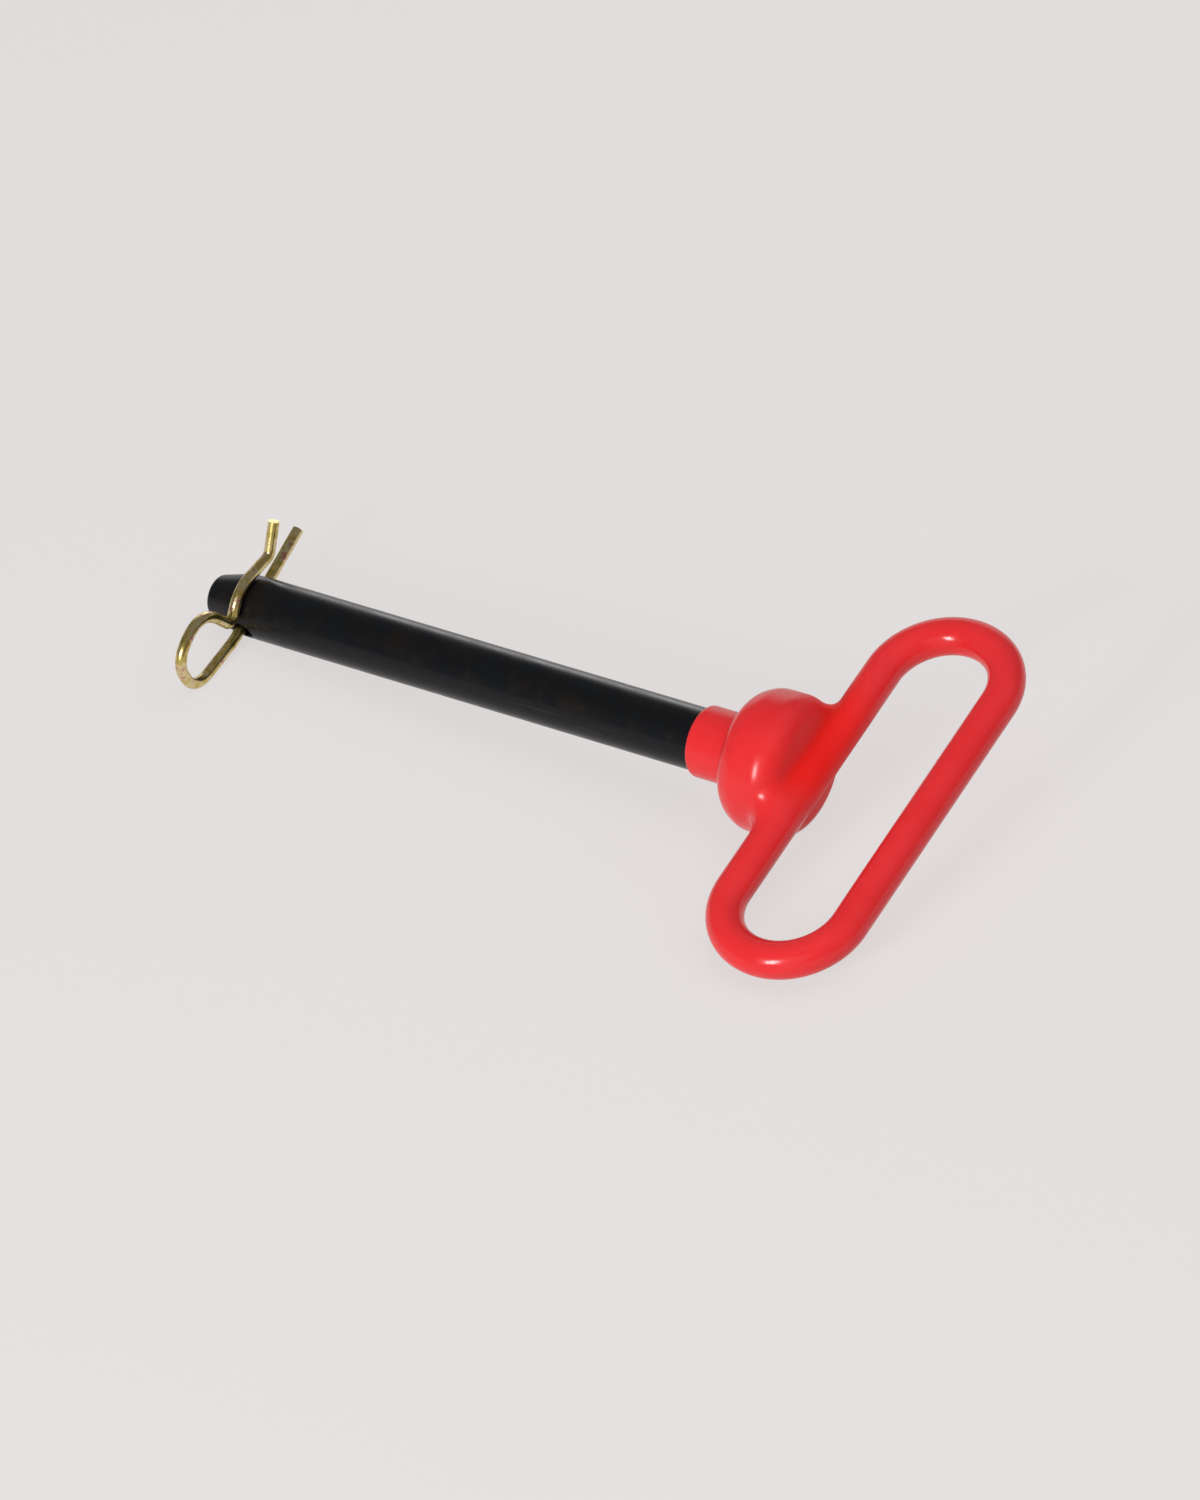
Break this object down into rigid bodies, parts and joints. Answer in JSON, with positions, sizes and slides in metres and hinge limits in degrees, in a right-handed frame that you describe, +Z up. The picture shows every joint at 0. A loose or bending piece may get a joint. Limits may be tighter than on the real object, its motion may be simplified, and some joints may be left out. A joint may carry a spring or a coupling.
{
  "type": "hitch pin",
  "caption": "Steel hitch pin with a vinyl-dipped loop handle on a round head, a tapered tip and a cross hole that holds a bent spring wire clip.",
  "frame": {"origin": "on the pin's axis at the end of the dipped neck, where the drawbar seats", "axes": "the pin lies as it comes to rest, on its head, the shoulder of its tip and the clip's loop: +Z is up, +X runs along the pin to the handle, 3.8 degrees below the pin's axis, and +Y is across the pin on the side of the clip's bent tail"},
  "size_m": [0.2597, 0.1349, 0.0446],
  "materials": {
    "black_steel": "satin black quench oxide",
    "bare_steel": "as rolled, hidden under the dip",
    "red_vinyl": "glossy dipped plastisol",
    "zinc_wire": "yellow iridescent zinc plate"
  },
  "bodies": {
    "pin_body": {"pin": "black_steel", "handle_bar": "bare_steel", "handle_weld": "bare_steel", "vinyl_grip": "red_vinyl"},
    "clip_body": {"clip": "zinc_wire"}
  },
  "joints": [
    {"name": "clip_slide", "type": "slide", "parent": "pin_body", "child": "clip_body", "axis": [0.0261, -0.917, -0.398], "range_m": [0, 0.045], "deforming": ["clip"]}
  ]
}
